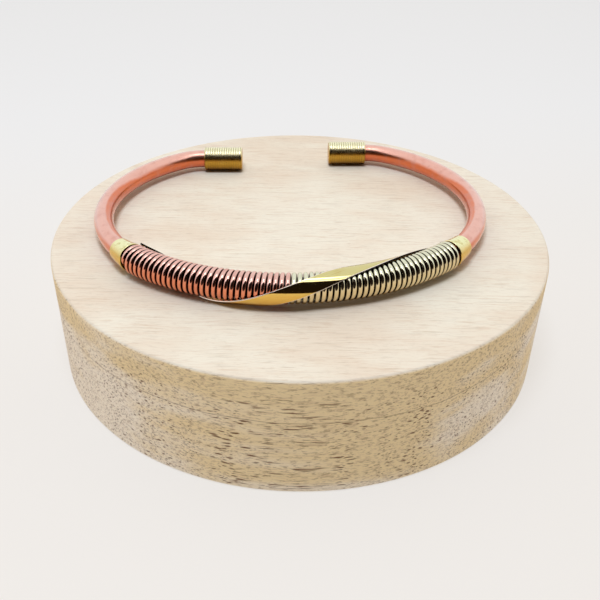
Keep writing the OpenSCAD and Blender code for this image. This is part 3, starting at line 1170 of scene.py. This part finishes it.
@dataclass
class Studio:
    """A plain pale floor under a soft white dome, brightest overhead, with the dark of the room in front.

    Shiny surfaces mirror the dark of the room. The soft light that falls on the rest of the scene hardly
    weakens there. A way is a direction, and a pair of degrees gives the angles from it between which something
    starts and ends.
    """

    floor_half: float = 3.0
    floor_height: float = -0.02 * MM
    floor_colour: Colour = (0.22, 0.22, 0.22, 1.0)
    floor_roughness: float = 0.7
    floor_glow: Colour = (0.62, 0.6, 0.575, 1.0)
    floor_glow_far: Colour = (0.625, 0.635, 0.65, 1.0)
    floor_span: Pair = (-0.02, 0.12)
    backdrop: Colour = shade(232, 232, 230)
    dome: float = 0.95
    dome_tint: Colour = (1.0, 0.87, 0.71, 1.0)
    mirrored_dome: float = 0.92
    mirrored_tint: Colour = (1.0, 1.0, 1.0, 1.0)
    dark_share: float = 0.95
    mirrored_dark_share: float = 0.985
    dark_tint: Colour = (1.0, 0.66, 0.52, 1.0)
    dark_way: Triple = (-0.05, -0.81, 0.585)
    dark_squash: float = 0.32
    dark_degrees: Pair = (38.0, 34.0)
    glint: float = 2.5
    glint_degrees: Pair = (44.0, 38.0)
    glint_height: Pair = (0.6, 0.8)
    strip: float = 2.8
    strip_way: Triple = (0.0, -0.03, 1.0)
    strip_degrees: Pair = (7.0, 4.0)
    lamp_power: float = 0.92
    lamp_tint: Triple = (0.95, 1.01, 1.13)
    lamp_size: float = 0.12
    lamp_place: Triple = (-0.04, -0.1, 0.4)
    lamp_tilt: float = 14.5

    def _near(self, graph: Graph, way: bpy.types.NodeSocket, centre: Triple, degrees: Pair) -> Value:
        """Goes smoothly from 0 to 1 as a direction comes from one angle to another from a centre.

        Args:
            graph: The world's graph.
            way: The direction that is looked in.
            centre: The direction from which the angles are taken.
            degrees: The angle at which it starts, and the smaller one at which it is full.

        Returns:
            The value, which fades by the angle's cosine.
        """
        axis = tuple(np.array(centre) / np.linalg.norm(centre))
        along = graph.node("ShaderNodeVectorMath", {0: way, 1: axis}, operation="DOT_PRODUCT")
        return Value(graph, along.outputs["Value"]).fade(*(math.cos(math.radians(angle)) for angle in degrees))

    def _world(self) -> None:
        """Lights the scene from all round. The camera itself sees a plain pale backdrop.

        The dark of the room is wider than it is high, so that the sideways part of a direction is squashed
        before its angle from the room's direction is taken. Above it shiny surfaces also mirror a bright edge,
        and overhead a bright strip, which is squashed in the same way.
        """
        world = bpy.data.worlds.new("studio")
        world.use_nodes = True
        world.cycles.sampling_method = "NONE"
        bpy.context.scene.world = world
        graph = Graph(world.node_tree)
        way = graph.coordinates("Generated")
        squashed = graph.node("ShaderNodeVectorMath", {0: way, 1: (self.dark_squash, 1.0, 1.0)}, operation="MULTIPLY")
        narrow = graph.node("ShaderNodeVectorMath", {0: squashed.outputs[0]}, operation="NORMALIZE").outputs[0]
        dark = self._near(graph, narrow, self.dark_way, self.dark_degrees)
        rim = self._near(graph, narrow, self.dark_way, self.glint_degrees)
        glint = rim * (1 - dark) * graph.part(way, 2).fade(*self.glint_height) * self.glint
        strip = self._near(graph, narrow, self.strip_way, self.strip_degrees) * self.strip
        path = graph.node("ShaderNodeLightPath").outputs
        mirrored = Value(graph, path["Is Glossy Ray"])
        dome = self.dome + mirrored * (self.mirrored_dome - self.dome)
        share = self.dark_share + mirrored * (self.mirrored_dark_share - self.dark_share)
        strength = dome * (1 - dark * share) + mirrored * (glint + strip)
        colour = graph.mix(dark, graph.mix(mirrored, self.dome_tint, self.mirrored_tint), self.dark_tint)
        lit = graph.node("ShaderNodeBackground", {"Color": colour, "Strength": strength})
        seen = graph.node("ShaderNodeBackground", {"Color": self.backdrop, "Strength": 1.0})
        both = graph.node("ShaderNodeMixShader", {0: path["Is Camera Ray"], 1: lit.outputs[0], 2: seen.outputs[0]})
        graph.node("ShaderNodeOutputWorld", {"Surface": both.outputs[0]})

    def _lamp(self) -> None:
        """A soft square lamp above the front of the block, tipped up a little from facing down.

        Neither the camera nor shiny surfaces see it: they see the dome.
        """
        data = bpy.data.lights.new("overhead", "AREA")
        data.size = self.lamp_size
        data.energy = self.lamp_power
        data.color = self.lamp_tint
        lamp = bpy.data.objects.new("overhead", data)
        lamp.location = self.lamp_place
        lamp.rotation_euler = (math.radians(self.lamp_tilt), 0.0, 0.0)
        lamp.visible_glossy = False
        lamp.visible_camera = False
        bpy.context.scene.collection.objects.link(lamp)

    def _floor(self) -> None:
        """The floor, just under the block. It is a little warmer in front of the block than behind it."""
        corners = [(x * self.floor_half, y * self.floor_half, self.floor_height)
                   for x, y in ((-1, -1), (1, -1), (1, 1), (-1, 1))]
        mesh = bpy.data.meshes.new("floor")
        mesh.from_pydata(corners, [], [(0, 1, 2, 3)])
        material, graph = start_material("floor")
        backwards = graph.part(graph.coordinates("Object"), 1)
        glow = graph.mix(backwards.fade(*self.floor_span), self.floor_glow, self.floor_glow_far)
        graph.principled({"Base Color": self.floor_colour, "Roughness": self.floor_roughness,
                          "Specular IOR Level": 0.0, "Emission Color": glow, "Emission Strength": 1.0})
        mesh.materials.append(material)
        floor = bpy.data.objects.new("floor", mesh)
        bpy.context.scene.collection.objects.link(floor)

    def build(self) -> None:
        """Builds the floor and the lights, and shows colours as they are."""
        self._world()
        self._lamp()
        self._floor()
        bpy.context.scene.view_settings.view_transform = "Standard"


# The first three colours of each finish are painted reflection: the top's, the sides' and the underside's.
COPPER = MetalFinish(
    "copper_rod_finish", shade(243, 186, 169), shade(228, 118, 66), shade(214, 104, 56), shade(214, 138, 118), 0.3,
    # The rod's hidden length carries painted shade.
    tarnish_share=0.5, coat=1.0, inner_share=1.5, cloud=1.8 * MM, hidden=55.1 * MM)
COPPER_WIRE = MetalFinish(
    "copper_wire_finish", shade(242, 198, 186), shade(238, 150, 116), shade(240, 148, 104), shade(176, 70, 54), 0.13,
    # Painted shade between the copper wire's turns.
    edge_span=(0.19 * MM, 0.31 * MM), edge_rise=0.12 * MM, edge_shade_and_highlight_colour=shade(72, 18, 14))
PALE_WIRE = MetalFinish(
    "pale_wire_finish", shade(232, 232, 206), shade(232, 212, 168), shade(230, 204, 152), shade(200, 190, 144), 0.13,
    # Painted shade between the pale wire's turns.
    edge_span=(0.23 * MM, 0.34 * MM), edge_rise=0.1 * MM)
BRASS = MetalFinish(
    "collar_brass_finish", shade(248, 248, 196), shade(230, 190, 104), shade(214, 160, 74), shade(206, 182, 96), 0.1,
    roughness_spread=0.12, tarnish_share=0.6, side_facing=(0.92, 0.3), cloud=1.0 * MM)
BAND_BRASS = MetalFinish(
    "band_brass_finish", shade(222, 212, 150), shade(238, 196, 102), shade(232, 182, 88), shade(206, 176, 96), 0.09,
    roughness_spread=0.04, mark_length=14 * MM, mark_width=0.16 * MM, mark_share=0.7,
    # Painted highlight on the band's edges.
    edge_span=(1.03 * MM, 1.09 * MM), edge_rise=0.0, edge_shade_and_highlight_colour=shade(250, 236, 222),
    # Painted shade along the band's lower edge.
    lower_shade_span=(-1.13 * MM, -1.17 * MM))
CAP_BRASS = MetalFinish(
    "cap_brass_finish", shade(246, 244, 206), shade(198, 154, 62), shade(164, 118, 40), shade(206, 172, 96), 0.26,
    # The caps' grooves carry painted shade.
    groove_start=EndCap.rim, groove_pitch=(EndCap.length - 2 * EndCap.rim) / EndCap.ridges)


def main() -> None:
    """Builds the object and the scene round it."""
    logging.basicConfig(level=logging.INFO, format="%(name)s %(message)s")
    Viewpoint().build()
    Studio().build()
    path = CuffPath()
    brass, cap_brass = BRASS.material(), CAP_BRASS.material()
    Block().build(WoodFinish().material())
    Rod(path).build(COPPER.material())
    for side in Side:
        EndCap(path, side).build(cap_brass)
        Collar(path, side).build(brass)
    WireCoils(path).build(COPPER_WIRE.material(), PALE_WIRE.material())
    Band(path).build(BAND_BRASS.material())


if __name__ == "__main__":
    main()
